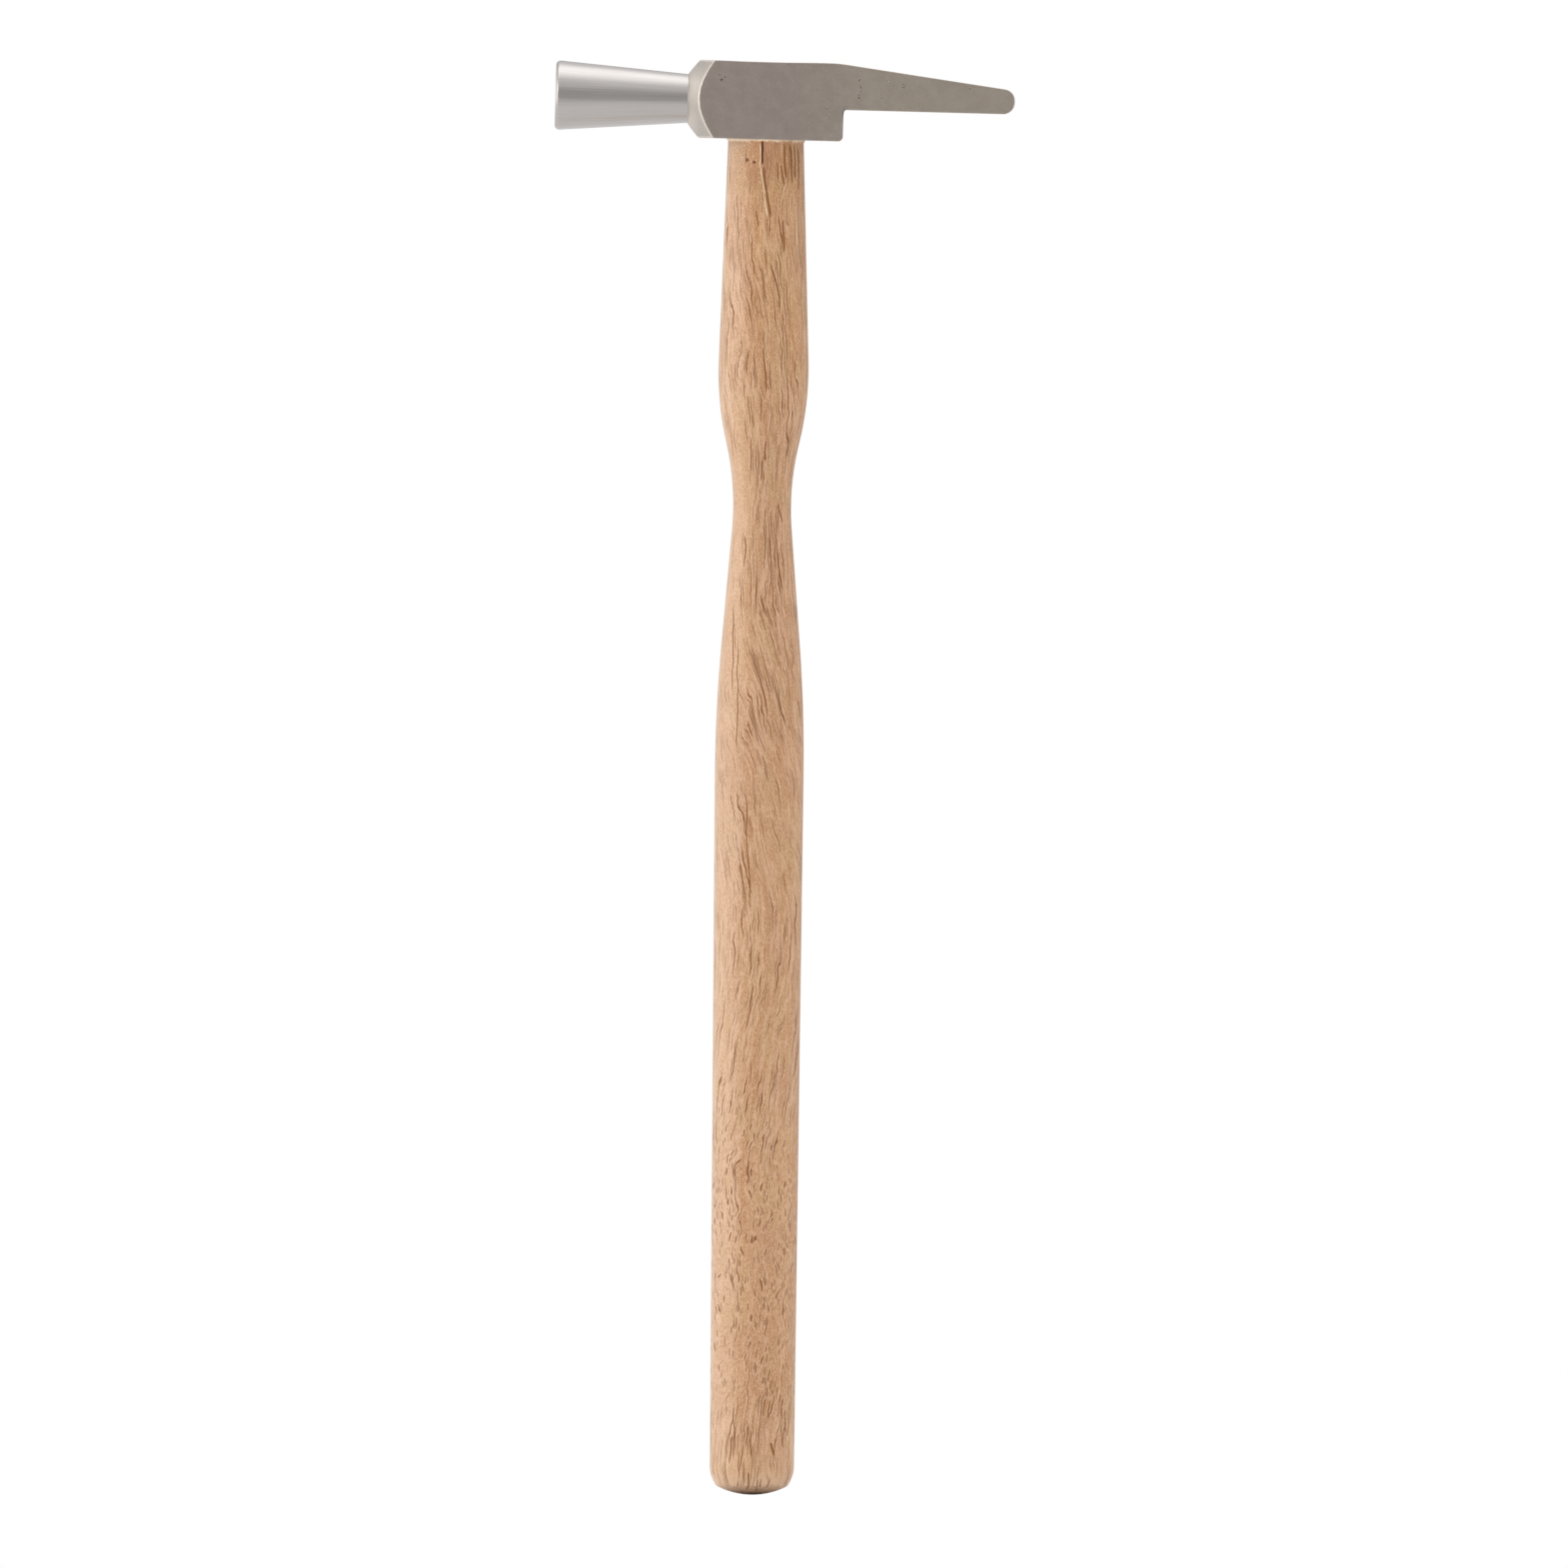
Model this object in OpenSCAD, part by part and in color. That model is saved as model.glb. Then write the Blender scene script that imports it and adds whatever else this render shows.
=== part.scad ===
// Watchmaker hammer: a one-piece steel head with a turned striking end and a cross peen,
// wedged on a turned hardwood handle. Sizes are in millimetres.
// The handle stands along Z with the flat of its butt on the origin. The striking face looks
// towards -X, the peen towards +X, and the two cheeks of the head face -Y and +Y.

/* [Head block] */
// Height of the square bar, from its underside to its top
bar_h = 12.5; // [10:0.1:18]
// Width of the square bar, from cheek to cheek
bar_w = 12.5; // [12:0.1:18]
// Length of the block, which is centred on the eye
block_len = 25.2; // [20:0.1:36]
// Angle by which the head sits out of square with the handle, peen end low
head_cant = 0.9; // [0:0.1:3]
// Angle between the turned chamfer and the axis of the head
chamfer_angle = 49; // [35:1:60]
// Radius of the chamfer's slightly full curve
chamfer_curve_r = 50; // [30:1:100]
// Diameter at which the turned chamfer starts
chamfer_start_d = 8.2; // [8:0.1:9.6]

/* [Striking end] */
// Length of the turned cone, from the striking face to the block
cone_len = 21.3; // [12:0.1:35]
// Diameter of the cone at its striking end
face_d = 11.2; // [9:0.1:16]
// Diameter of the cone at its thin end
neck_d = 7.8; // [6:0.1:7.9]
// Radius that eases the edge of the striking face
face_edge_r = 0.7; // [0.2:0.05:1.5]
// Radius in the corner between the cone and the chamfer
neck_fillet_r = 0.15; // [0.05:0.05:0.15]

/* [Cross peen] */
// Length of the peen, from the step in the underside to the tip
peen_len = 27.2; // [18:0.1:40]
// Depth of the peen's underside below the axis of the head
peen_drop = 1.2; // [0.5:0.1:2.5]
// Height of the peen at its tip, before the tip is rounded
peen_tip_h = 3.8; // [3.2:0.1:6]
// Radius that rounds both corners of the tip
peen_tip_r = 1.6; // [0.5:0.1:1.6]
// Length of the block's top that already falls with the peen
peen_fall_lead = 1; // [0:0.1:3]
// Radius that blends the block's top into the peen
peen_blend_r = 22; // [5:1:40]
// Radius in the inner corner of the step
step_fillet_r = 0.55; // [0.2:0.05:1.5]
// Radius on the outer corner of the step
step_corner_r = 0.35; // [0.1:0.05:1]

/* [Eye and wedges] */
// Diameter of the eye at the underside of the head
eye_d = 8.6; // [6:0.1:10.4]
// Extra diameter of the eye at the top, which the spread tenon fills
eye_flare = 0.8; // [0.2:0.1:1]
// Chamfer around the mouth of the eye at the top
eye_lip = 0.3; // [0.1:0.05:0.5]
// Clearance all round the tenon in the eye
eye_clearance = 0.02; // [0:0.01:0.1]
// Depth of the tenon's end below the top of the head
tenon_recess = 0.15; // [0:0.05:1]
// Width of the saw kerf in the tenon
kerf_w = 0.5; // [0.3:0.1:0.8]
// Depth of the kerf's floor above the shoulder of the handle
kerf_floor = 1.2; // [0.5:0.1:2.5]
// Length of the wooden wedge
wood_wedge_len = 9; // [6:0.1:9]
// Thickness of the wooden wedge at its thick end
wood_wedge_t = 1.7; // [1:0.1:2.5]
// Length of the steel wedge
steel_wedge_len = 6.5; // [4:0.1:7]
// Thickness of the steel wedge at its thick end
steel_wedge_t = 1.3; // [0.8:0.1:2]
// Thickness of the steel wedge at its edge
steel_wedge_edge = 0.3; // [0.2:0.05:0.6]
// Width of the steel wedge
steel_wedge_w = 5.2; // [3:0.1:5.6]

/* [Handle] */
// Length of the handle from its butt to the underside of the head
handle_len = 217.2; // [160:0.1:300]
// Diameter of the shoulder that bears on the head
shoulder_d = 12.1; // [11.8:0.1:14]
// Distance of the swell's crest below the head
swell_drop = 41.7; // [30:0.1:45]
// Diameter to which the swell's sides run before the crest is rounded
swell_d = 14.8; // [13:0.1:18]
// Radius of the swell's crest
swell_r = 50; // [20:1:60]
// Distance of the waist below the head
waist_drop = 55.8; // [52:0.1:65]
// Diameter to which the waist's sides run before the waist is rounded
waist_d = 8.5; // [7:0.1:12]
// Radius of the waist
waist_r = 44; // [20:1:50]
// Distance of the grip's shoulder below the head
grip_drop = 91.5; // [85:0.1:110]
// Diameter to which the grip's sides run before its shoulder is rounded
grip_d = 14.3; // [12:0.1:20]
// Radius of the grip's shoulder
grip_r = 250; // [50:10:300]
// Diameter of the grip just above the butt
butt_d = 13.5; // [11.5:0.1:20]

/* [Butt] */
// Diameter of the flat in the middle of the butt
butt_flat_d = 5; // [2:0.1:8]
// Distance of the dome's rim inside the side of the grip
butt_rim_inset = 1.2; // [0.5:0.1:2.5]
// Height of that rim above the flat
butt_rim_h = 0.85; // [0.3:0.05:1.5]
// Radius of the rim
butt_rim_r = 0.4; // [0.1:0.1:0.5]
// Height at which the side of the grip would meet the slope that runs in to the rim
butt_turn_h = 2.3; // [2:0.1:4]
// Radius that rounds the side of the grip into that slope
butt_turn_r = 4.4; // [1:0.1:4.5]
// Radius that turns the flat into the dome
butt_dome_r = 3; // [1:0.5:15]

/* [Hidden] */
$fn = 96;

// Straight pieces in each rounded corner of an outline
ARC_STEPS = 10;
// Cutters reach this far past what they cut
OVERCUT = 1;

axis_h = bar_h / 2;
tenon_h = bar_h - tenon_recess;
tenon_d = eye_d - 2 * eye_clearance;
tenon_flare = eye_flare / bar_h;
bar_corner_r = norm([bar_w, bar_h]) / 2;
peen_tip_top = peen_tip_h - peen_drop;

// Places along the head, from the striking face to the tip of the peen. From clear_x on, the lathe
// no longer reaches the bar's corners.
neck_x = -block_len / 2;
face_x = neck_x - cone_len;
chamfer_end_x = neck_x + (bar_corner_r - chamfer_start_d / 2) / tan(chamfer_angle);
clear_x = chamfer_end_x + OVERCUT;
step_x = block_len / 2;
tip_x = step_x + peen_len;

steel = [0.62, 0.6, 0.58];
bare_steel = [0.5, 0.5, 0.52];
beech = [0.83, 0.66, 0.49];
wedge_wood = [0.72, 0.52, 0.34];

function unit(v) = v / norm(v);
function turned_left(v) = [-v[1], v[0]];

// The points that round the corner b of the outline a, b, c with an arc of radius r
function corner(a, b, c, r) =
    let (
        from = unit(b - a),
        to = unit(c - b),
        side = sign(cross(from, to)),
        turn = acos(min(1, from * to)),
        setback = r * tan(turn / 2),
        centre = b - from * setback + side * r * turned_left(from)
    )
    [for (i = [0:ARC_STEPS])
        let (angle = side * turn * i / ARC_STEPS)
        centre - side * r * (turned_left(from) * cos(angle) - from * sin(angle))
    ];

// A closed outline from [x, y, radius] points, where a radius of 0 leaves the corner sharp
function rounded(points) =
    let (
        count = len(points),
        at = [for (p = points) [p[0], p[1]]]
    )
    [for (i = [0:count - 1])
        each (points[i][2] > 0
            ? corner(at[(i + count - 1) % count], at[i], at[(i + 1) % count], points[i][2])
            : [at[i]])
    ];

// Puts its children in the head's own frame: the eye runs along Z and the underside lies at 0
module at_head() {
    translate([0, 0, handle_len]) rotate([0, head_cant, 0]) children();
}

// The bar's outline on the cheek, with the peen stepped up from its underside
module cheek_outline() {
    polygon(rounded([
        [neck_x, 0, 0],
        [neck_x, bar_h, 0],
        [step_x - peen_fall_lead, bar_h, peen_blend_r],
        [tip_x, axis_h + peen_tip_top, peen_tip_r],
        [tip_x, axis_h - peen_drop, peen_tip_r],
        [step_x, axis_h - peen_drop, step_fillet_r],
        [step_x, 0, step_corner_r]
    ]));
}

// Half of the lathe's cut, with the radius along X and the axis of the head along Y
module lathe_profile() {
    start = [chamfer_start_d / 2, neck_x];
    way = unit([bar_corner_r, chamfer_end_x] - start);
    chord = norm([bar_corner_r, chamfer_end_x] - start);
    centre = start + way * chord / 2
        + turned_left(way) * sqrt(pow(chamfer_curve_r, 2) - pow(chord / 2, 2));

    polygon(rounded([
        [0, face_x, 0],
        [face_d / 2, face_x, face_edge_r],
        [neck_d / 2, neck_x, neck_fillet_r],
        [chamfer_start_d / 2, neck_x, 0],
        [chamfer_start_d / 2, clear_x, 0],
        [0, clear_x, 0]
    ]));
    intersection() {
        translate(centre) circle(chamfer_curve_r);
        translate([0, neck_x]) square([bar_corner_r + 2 * OVERCUT, clear_x - neck_x]);
    }
}

// What the lathe leaves of the head: the cone and the chamfer, and past them all of the bar
module turned_envelope() {
    translate([0, 0, axis_h]) rotate([0, 90, 0]) rotate_extrude() lathe_profile();
    translate([clear_x - OVERCUT / 2, -bar_w, -OVERCUT])
        cube([tip_x - clear_x + 2 * OVERCUT, 2 * bar_w, bar_h + 2 * OVERCUT]);
}

// The forged blank: the bar with its peen, and a round striking end
module blank() {
    translate([0, bar_w / 2, 0]) rotate([90, 0, 0]) linear_extrude(bar_w) cheek_outline();
    translate([face_x - OVERCUT, 0, axis_h]) rotate([0, 90, 0])
        cylinder(h = cone_len + OVERCUT, d = face_d + OVERCUT);
}

// The eye through the block, or the tenon that fills it, from the height low to high
module eye_plug(diameter, low, high) {
    translate([0, 0, low])
        cylinder(
            h = high - low,
            d1 = diameter + tenon_flare * low,
            d2 = diameter + tenon_flare * high
        );
}

module hammer_head() {
    color(steel) at_head() difference() {
        intersection() {
            blank();
            turned_envelope();
        }
        eye_plug(eye_d, -OVERCUT, bar_h + OVERCUT);
        translate([0, 0, bar_h - eye_lip])
            cylinder(
                h = eye_lip + OVERCUT,
                d1 = eye_d + eye_flare,
                d2 = eye_d + eye_flare + 2 * (eye_lip + OVERCUT)
            );
    }
}

// The wooden wedge's blade, which runs from cheek to cheek in the tenon
module wood_blade() {
    rotate([90, 0, 0]) linear_extrude(eye_d + 2 * OVERCUT, center = true)
        polygon([
            [-kerf_w / 2, tenon_h - wood_wedge_len],
            [kerf_w / 2, tenon_h - wood_wedge_len],
            [wood_wedge_t / 2, tenon_h],
            [-wood_wedge_t / 2, tenon_h]
        ]);
}

// The steel wedge's blade, which crosses the wooden one
module steel_blade() {
    rotate([90, 0, 90]) linear_extrude(steel_wedge_w, center = true)
        polygon([
            [-steel_wedge_edge / 2, tenon_h - steel_wedge_len],
            [steel_wedge_edge / 2, tenon_h - steel_wedge_len],
            [steel_wedge_t / 2, tenon_h],
            [-steel_wedge_t / 2, tenon_h]
        ]);
}

// The turned handle from its butt up to a little above the shoulder
module turned_handle() {
    rotate_extrude() polygon(rounded([
        [0, 0, 0],
        [butt_flat_d / 2, 0, butt_dome_r],
        [butt_d / 2 - butt_rim_inset, butt_rim_h, butt_rim_r],
        [butt_d / 2, butt_turn_h, butt_turn_r],
        [grip_d / 2, handle_len - grip_drop, grip_r],
        [waist_d / 2, handle_len - waist_drop, waist_r],
        [swell_d / 2, handle_len - swell_drop, swell_r],
        [shoulder_d / 2, handle_len, 0],
        [shoulder_d / 2, handle_len + OVERCUT, 0],
        [0, handle_len + OVERCUT, 0]
    ]));
}

module handle() {
    color(beech) {
        difference() {
            turned_handle();
            at_head() translate([-shoulder_d, -shoulder_d, 0])
                cube([2 * shoulder_d, 2 * shoulder_d, 3 * OVERCUT]);
        }
        at_head() difference() {
            eye_plug(tenon_d, 0, tenon_h);
            translate([-kerf_w / 2, -eye_d, kerf_floor]) cube([kerf_w, 2 * eye_d, bar_h]);
            wood_blade();
            steel_blade();
        }
    }
}

module wooden_wedge() {
    color(wedge_wood) at_head() difference() {
        intersection() {
            wood_blade();
            eye_plug(tenon_d, 0, tenon_h);
        }
        steel_blade();
    }
}

module steel_wedge() {
    color(bare_steel) at_head() steel_blade();
}

hammer_head();
handle();
wooden_wedge();
steel_wedge();
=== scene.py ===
"""A watchmaker hammer: a turned and ground steel head on a turned hardwood handle.

Sizes are written in millimetres, as in the CAD source, and turned into metres where a mesh is made.
The handle stands along Z with its butt on the origin, the striking face looks towards -X, the
peen towards +X, and the front cheek faces -Y.
"""

import math

import bmesh
import bpy
import numpy as np
from mathutils import Matrix, Vector, noise


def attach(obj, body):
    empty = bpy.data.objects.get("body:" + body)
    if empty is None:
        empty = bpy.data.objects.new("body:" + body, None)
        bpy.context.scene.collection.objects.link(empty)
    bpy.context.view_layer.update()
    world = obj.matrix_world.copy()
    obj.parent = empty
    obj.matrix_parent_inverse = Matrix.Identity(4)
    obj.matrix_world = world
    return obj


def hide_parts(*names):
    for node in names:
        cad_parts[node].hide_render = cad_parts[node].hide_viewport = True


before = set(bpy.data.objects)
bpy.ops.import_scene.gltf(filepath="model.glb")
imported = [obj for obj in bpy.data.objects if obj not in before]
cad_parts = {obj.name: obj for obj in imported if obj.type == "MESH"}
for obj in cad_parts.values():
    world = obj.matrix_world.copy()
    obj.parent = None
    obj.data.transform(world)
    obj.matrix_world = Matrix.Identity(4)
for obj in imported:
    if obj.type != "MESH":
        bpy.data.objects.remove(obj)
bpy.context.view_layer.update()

MM = 0.001

# The head, in its own frame: the eye runs along Z and the underside lies at 0
BAR_H = 12.5
BAR_W = 12.5
BLOCK_LEN = 25.2
HEAD_CANT = 0.9
CHAMFER_ANGLE = 49.0
CHAMFER_CURVE_R = 50.0
CHAMFER_START_D = 8.2
CONE_LEN = 21.3
FACE_D = 11.2
NECK_D = 7.8
FACE_EDGE_R = 0.7
NECK_FILLET_R = 0.15
PEEN_LEN = 27.2
PEEN_DROP = 1.2
PEEN_TIP_H = 3.8
PEEN_TIP_R = 1.85
PEEN_FALL_LEAD = 1.0
PEEN_BLEND_R = 22.0
STEP_FILLET_R = 0.55
STEP_CORNER_R = 0.75
EYE_D = 8.6
EYE_FLARE = 0.8
EYE_LIP = 0.3
EYE_CLEARANCE = 0.02

# The tenon and its wedges
TENON_RECESS = 0.15
KERF_W = 0.5
KERF_FLOOR = 1.2
WOOD_WEDGE_LEN = 9.0
WOOD_WEDGE_T = 1.7
STEEL_WEDGE_LEN = 6.5
STEEL_WEDGE_T = 1.3
STEEL_WEDGE_EDGE = 0.3
STEEL_WEDGE_W = 5.2

# The handle
HANDLE_LEN = 217.2
SHOULDER_D = 12.1
SWELL_DROP = 41.7
SWELL_D = 14.8
SWELL_R = 50.0
WAIST_DROP = 55.8
WAIST_D = 8.5
WAIST_R = 44.0
GRIP_DROP = 91.5
GRIP_D = 14.3
GRIP_R = 250.0
BUTT_D = 13.5
BUTT_DOME_R = 12.3
BUTT_DOME_SLOPE = 25.8
BUTT_RIM_INSET = 1.0
BUTT_RIM_R = 1.1
BUTT_TURN_H = 3.3
BUTT_TURN_R = 5.0

# The photograph's step lies this much nearer the eye than the CAD's, and its peen is this much shorter
STEP_IN = 0.3
TIP_IN = 0.1

TILT = Matrix.Rotation(math.radians(HEAD_CANT), 4, "Y")
AXIS_H = BAR_H / 2
EYE_SLOPE = EYE_FLARE / BAR_H / 2
TENON_H = BAR_H - TENON_RECESS
NECK_X = -BLOCK_LEN / 2
FACE_X = NECK_X - CONE_LEN
STEP_X = BLOCK_LEN / 2 - STEP_IN
TIP_X = BLOCK_LEN / 2 + PEEN_LEN - TIP_IN
BAR_CORNER_R = math.hypot(BAR_W, BAR_H) / 2
CHAMFER_END_X = NECK_X + (BAR_CORNER_R - CHAMFER_START_D / 2) / math.tan(math.radians(CHAMFER_ANGLE))

# What the photograph shows beyond the CAD: eased edges, and a slight hollow in the top over the eye
EDGE_R = 0.1
EDGE_BLEND = 0.3
TOP_HOLLOW = 0.08
TOP_HOLLOW_REACH = 6.0


# Outlines

def corner_arc(before, at, after, radius, steps):
    """The points that round the corner of an outline with an arc."""
    before, at, after = (np.array(p[:2], float) for p in (before, at, after))
    way_in = (at - before) / np.linalg.norm(at - before)
    way_out = (after - at) / np.linalg.norm(after - at)
    side = np.sign(way_in[0] * way_out[1] - way_in[1] * way_out[0])
    turn = math.acos(min(1.0, float(way_in @ way_out)))
    left = np.array([-way_in[1], way_in[0]])
    centre = at - way_in * radius * math.tan(turn / 2) + side * radius * left
    points = []
    for k in range(steps + 1):
        angle = side * turn * k / steps
        points.append(centre - side * radius * (left * math.cos(angle) - way_in * math.sin(angle)))
    return points


def rounded_path(corners, steps=24):
    """An open path through (x, y, radius) corners; its two ends stay as they are."""
    path = [np.array(corners[0][:2], float)]
    for before, at, after in zip(corners, corners[1:], corners[2:]):
        if at[2] > 0:
            path.extend(corner_arc(before, at, after, at[2], steps))
        else:
            path.append(np.array(at[:2], float))
    path.append(np.array(corners[-1][:2], float))
    return np.array(path)


def lengths_along(path):
    """The distance of each point of a path from its start."""
    return np.concatenate([[0.0], np.cumsum(np.linalg.norm(np.diff(path, axis=0), axis=1))])


def sample(path, places):
    """The points of a path at these distances from its start, and the unit direction at each."""
    along = lengths_along(path)
    reach = 0.01

    def points_at(distances):
        return np.stack([np.interp(distances, along, path[:, k]) for k in (0, 1)], axis=1)

    way = points_at(places + reach) - points_at(places - reach)
    return points_at(places), way / np.linalg.norm(way, axis=1)[:, None]


def eased_steps(count):
    """Numbers from 0 to 1 that lie closer together towards both ends."""
    return 0.5 - 0.5 * np.cos(np.pi * np.arange(count + 1) / count)


def smooth_min(a, b, blend):
    """The smaller of two numbers, with the change from one to the other eased over blend."""
    near = np.maximum(blend - np.abs(a - b), 0.0) / blend
    return np.minimum(a, b) - near * near * blend / 4


def smooth_step(low, high, value):
    """0 up to low, 1 from high on, and an eased rise between them."""
    t = np.clip((value - low) / (high - low), 0.0, 1.0)
    return t * t * (3 - 2 * t)


# Meshes

def head_matrix():
    """Takes the head's own frame, in millimetres, to the row frame, in metres."""
    return Matrix.Translation((0, 0, HANDLE_LEN * MM)) @ TILT @ Matrix.Scale(MM, 4)


def add_object(name, data):
    made = bpy.data.objects.new(name, data)
    bpy.context.scene.collection.objects.link(made)
    return made


def bridge_rings(bm, rings):
    """Joins each ring of vertices to the next with quads, and returns the faces row by row."""
    rows = []
    for lower, upper in zip(rings, rings[1:]):
        count = len(lower)
        faces = []
        for k in range(count):
            n = (k + 1) % count
            faces.append(bm.faces.new((lower[k], lower[n], upper[n], upper[k])))
        rows.append(faces)
    return rows


def finished_mesh(bm, name):
    """The mesh of a closed solid, with all its faces turned outwards."""
    bmesh.ops.recalc_face_normals(bm, faces=bm.faces)
    mesh = bpy.data.meshes.new(name)
    bm.to_mesh(mesh)
    bm.free()
    return mesh


def lathe_mesh(name, profile, segments):
    """A closed solid turned round Z from (radius, height) points, the first and last on the axis."""
    bm = bmesh.new()
    rings = []
    for radius, height in profile[1:-1]:
        ring = []
        for k in range(segments):
            angle = 2 * math.pi * k / segments
            ring.append(bm.verts.new((radius * math.cos(angle), radius * math.sin(angle), height)))
        rings.append(ring)
    bridge_rings(bm, rings)
    for ring, height in ((rings[0], profile[0][1]), (rings[-1], profile[-1][1])):
        middle = bm.verts.new((0, 0, height))
        for k in range(segments):
            bm.faces.new((ring[k], ring[(k + 1) % segments], middle))
    return finished_mesh(bm, name)


def prism_mesh(name, outline, across, depth):
    """A closed prism: an outline of (across, Z) points, pushed depth / 2 both ways along the other axis."""
    bm = bmesh.new()
    ends = []
    for side in (-depth / 2, depth / 2):
        ring = []
        for a, z in outline:
            ring.append(bm.verts.new((a, side, z) if across == "X" else (side, a, z)))
        ends.append(ring)
    bridge_rings(bm, ends)
    for ring in ends:
        bm.faces.new(ring)
    return finished_mesh(bm, name)


def cut(piece, cutter_mesh):
    """Cuts a closed solid out of a piece, and leaves nothing of the cutter behind."""
    cutter = add_object("cutter", cutter_mesh)
    change = piece.modifiers.new("cut", "BOOLEAN")
    change.operation = "DIFFERENCE"
    change.solver = "EXACT"
    change.object = cutter
    bpy.context.view_layer.update()
    result = bpy.data.meshes.new_from_object(piece.evaluated_get(bpy.context.evaluated_depsgraph_get()))
    piece.modifiers.clear()
    old = piece.data
    piece.data = result
    result.name = piece.name
    bpy.data.meshes.remove(old)
    bpy.data.objects.remove(cutter)
    bpy.data.meshes.remove(cutter_mesh)


def smooth_shade(mesh, sharp_angle):
    """Smooth shading, with edges over this angle kept crisp."""
    mesh.shade_smooth()
    mesh.set_sharp_from_angle(angle=math.radians(sharp_angle))


# The head

SIDE_STEPS = 44
CORNER_STEPS = 4
SHARP_STEEL_ANGLE = 40

# The head's material slots
TURNED, CHAMFER, GROUND = 0, 1, 2

# The radius of the striking face out to which its mesh has rings of their own
FACE_RINGS_R = 4.3


def head_section(bottom, bottom_in, top, top_in):
    """One closed ring round the bar: underside, front cheek, top and back cheek, with eased edges."""
    half = BAR_W / 2
    flat = half - EDGE_R

    def corner(edge, edge_in):
        points = []
        for k in range(1, CORNER_STEPS):
            angle = math.pi / 2 * k / CORNER_STEPS
            at = edge + edge_in * EDGE_R * (1 - math.cos(angle))
            points.append((at[0], -flat - EDGE_R * math.sin(angle), at[1]))
        return points

    ring = [(bottom[0], flat - 2 * flat * s, bottom[1]) for s in eased_steps(SIDE_STEPS)]
    ring += corner(bottom, bottom_in)
    low, high = bottom + bottom_in * EDGE_R, top + top_in * EDGE_R
    for s in eased_steps(SIDE_STEPS):
        at = low + (high - low) * s
        ring.append((at[0], -half, at[1]))
    ring += reversed(corner(top, top_in))
    front_half = list(ring)
    ring += [(top[0], -flat + 2 * flat * s, top[1]) for s in eased_steps(SIDE_STEPS)]
    mirrored = [(x, -y, z) for x, y, z in reversed(front_half[SIDE_STEPS + 1:])]
    return np.array(ring + mirrored)


def lathe_stations():
    """(x, radius, material) along what the lathe cut, from the middle of the striking face."""
    stations = [(FACE_X, radius, TURNED) for radius in (0.5, 1.5, 2.5, 3.5, FACE_RINGS_R)]
    cone = rounded_path([
        (FACE_X, FACE_RINGS_R, 0),
        (FACE_X, FACE_D / 2, FACE_EDGE_R),
        (NECK_X, NECK_D / 2, NECK_FILLET_R),
        (NECK_X, CHAMFER_START_D / 2, 0),
    ], steps=10)
    total = lengths_along(cone)[-1]
    edge_zone, neck_zone = 2.2, 0.6
    places = np.concatenate([
        np.linspace(0.15, edge_zone, 16),
        np.linspace(edge_zone, total - neck_zone, 34)[1:],
        np.linspace(total - neck_zone, total, 10)[1:-1],
    ])
    stations.extend((x, radius, TURNED) for x, radius in sample(cone, places)[0])

    start, end = np.array([NECK_X, CHAMFER_START_D / 2]), np.array([CHAMFER_END_X, BAR_CORNER_R])
    chord = np.linalg.norm(end - start)
    way = (end - start) / chord
    into_steel = np.array([way[1], -way[0]])
    centre = start + way * chord / 2 + into_steel * math.sqrt(CHAMFER_CURVE_R**2 - (chord / 2) ** 2)
    past_the_corner = 0.7
    for x in np.linspace(NECK_X, CHAMFER_END_X + past_the_corner, 58):
        radius = centre[1] + math.sqrt(CHAMFER_CURVE_R**2 - (x - centre[0]) ** 2)
        stations.append((x, radius, CHAMFER))
    return stations


def hollowed(points):
    """Lowers the top of the block a little over the eye."""
    points = points.copy()
    points[:, 1] -= TOP_HOLLOW * np.exp(-(points[:, 0] / TOP_HOLLOW_REACH) ** 4)
    return points


def bar_stations(start_x):
    """Matching points of the underside and the top, from start_x to the nose of the peen."""
    nose = (TIP_X, AXIS_H - PEEN_DROP + PEEN_TIP_H / 2)
    tip_low = AXIS_H - PEEN_DROP
    tip_high = tip_low + PEEN_TIP_H
    under = rounded_path([
        (start_x, 0, 0),
        (STEP_X, 0, STEP_CORNER_R),
        (STEP_X, tip_low, STEP_FILLET_R),
        (TIP_X, tip_low, PEEN_TIP_R),
        (*nose, 0),
    ])
    over = rounded_path([
        (start_x, BAR_H, 0),
        (STEP_X - PEEN_FALL_LEAD, BAR_H, PEEN_BLEND_R),
        (TIP_X, tip_high, PEEN_TIP_R),
        (*nose, 0),
    ])
    under_all, over_all = lengths_along(under)[-1], lengths_along(over)[-1]
    to_step, bend_zone, nose_zone = STEP_X - start_x, 4, 4.6
    under_at = [0, to_step - 1, to_step + tip_low + 0.5, under_all - nose_zone, under_all]
    over_at = [0, to_step - bend_zone, to_step + bend_zone, over_all - nose_zone, over_all]
    under_places, over_places = [], []
    for k, count in enumerate((52, 44, 66, 30)):
        first = 0 if k == 0 else 1
        under_places.extend(np.linspace(under_at[k], under_at[k + 1], count)[first:])
        over_places.extend(np.linspace(over_at[k], over_at[k + 1], count)[first:])
    under_points, under_way = sample(under, np.array(under_places))
    over_points, over_way = sample(over, np.array(over_places))
    under_in = np.stack([-under_way[:, 1], under_way[:, 0]], axis=1)
    over_in = np.stack([over_way[:, 1], -over_way[:, 0]], axis=1)
    return under_points, under_in, hollowed(over_points), over_in


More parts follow.
